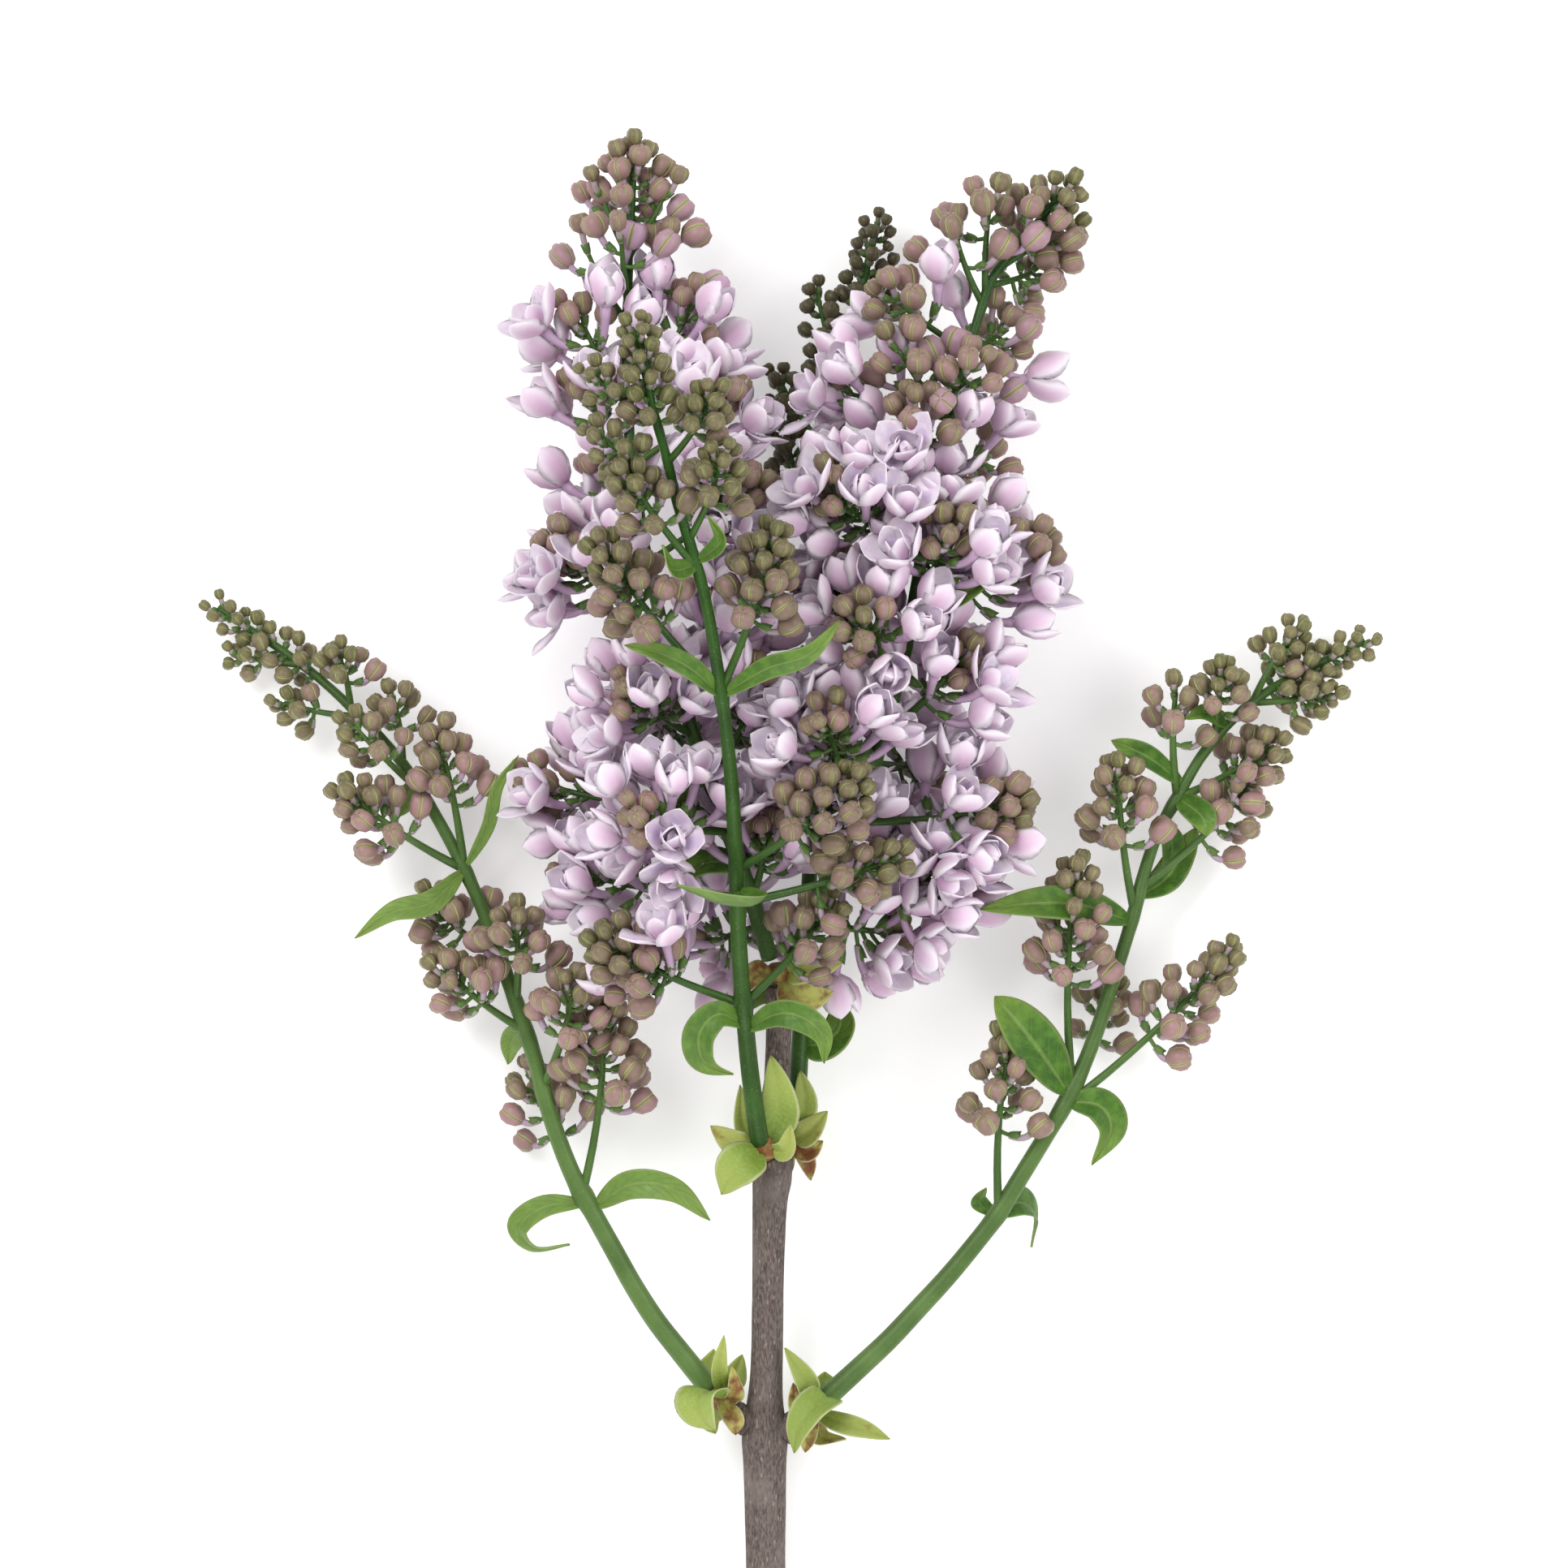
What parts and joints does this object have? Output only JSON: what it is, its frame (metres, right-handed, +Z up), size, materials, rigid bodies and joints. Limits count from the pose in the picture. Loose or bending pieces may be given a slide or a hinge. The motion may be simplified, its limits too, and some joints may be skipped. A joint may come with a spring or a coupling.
{
  "type": "lilac stem",
  "caption": "Cut stem of double lilac in bud and bloom, with a woody stem, bud scales, green shoots, small leaves and branched panicles, lying down.",
  "frame": {"origin": "middle of the whole stem's outline on the surface that it lies on", "axes": "+Y along the stem towards its flowers, +Z up from the surface that it lies on, +X to the right as seen from above"},
  "size_m": [0.2502, 0.3347, 0.0979],
  "materials": {
    "bark": "dull grey-brown bark with small pale pores",
    "bud_scale": "thin yellow-green scales, brown inside",
    "green_shoot": "soft green stalks and leaves, slightly glossy",
    "bud": "dusty mauve closed buds with green seams",
    "bloom": "pale lilac petals and mauve buds"
  },
  "bodies": {
    "root": {"bud_scales_front": "bud_scale", "bud_scales_left": "bud_scale", "bud_scales_rear": "bud_scale", "bud_scales_right": "bud_scale", "bud_scales_top": "bud_scale", "front_shoot": "green_shoot", "front_spray_1": "bud", "front_spray_2": "bud", "front_spray_3": "bud", "front_spray_4": "bud", "front_spray_5": "bud", "front_spray_6": "bud", "front_spray_7": "bud", "front_tip_spray": "bud", "left_shoot": "green_shoot", "left_spray_1": "bud", "left_spray_2": "bud", "left_spray_3": "bud", "left_spray_4": "bud", "left_spray_5": "bud", "left_spray_6": "bud", "left_spray_7": "bud", "left_spray_8": "bud", "left_tip_spray": "bud", "rear_shoot": "green_shoot", "rear_tip_spray": "bud", "right_shoot": "green_shoot", "right_spray_1": "bud", "right_spray_2": "bud", "right_spray_3": "bud", "right_spray_4": "bud", "right_spray_5": "bud", "right_spray_6": "bud", "right_spray_7": "bud", "right_spray_8": "bud", "right_tip_spray": "bud", "top_left_shoot": "green_shoot", "top_left_spray_1": "bloom", "top_left_spray_2": "bloom", "top_left_spray_3": "bloom", "top_left_spray_4": "bloom", "top_left_spray_5": "bloom", "top_left_spray_6": "bloom", "top_left_spray_7": "bloom", "top_left_spray_8": "bloom", "top_left_spray_9": "bloom", "top_left_tip_spray": "bloom", "top_right_shoot": "green_shoot", "top_right_spray_1": "bloom", "top_right_spray_2": "bloom", "top_right_spray_3": "bloom", "top_right_spray_4": "bloom", "top_right_spray_5": "bloom", "top_right_spray_6": "bloom", "top_right_spray_7": "bloom", "top_right_spray_8": "bloom", "top_right_spray_9": "bloom", "top_right_tip_spray": "bloom", "woody_stem": "bark"}
  },
  "joints": []
}
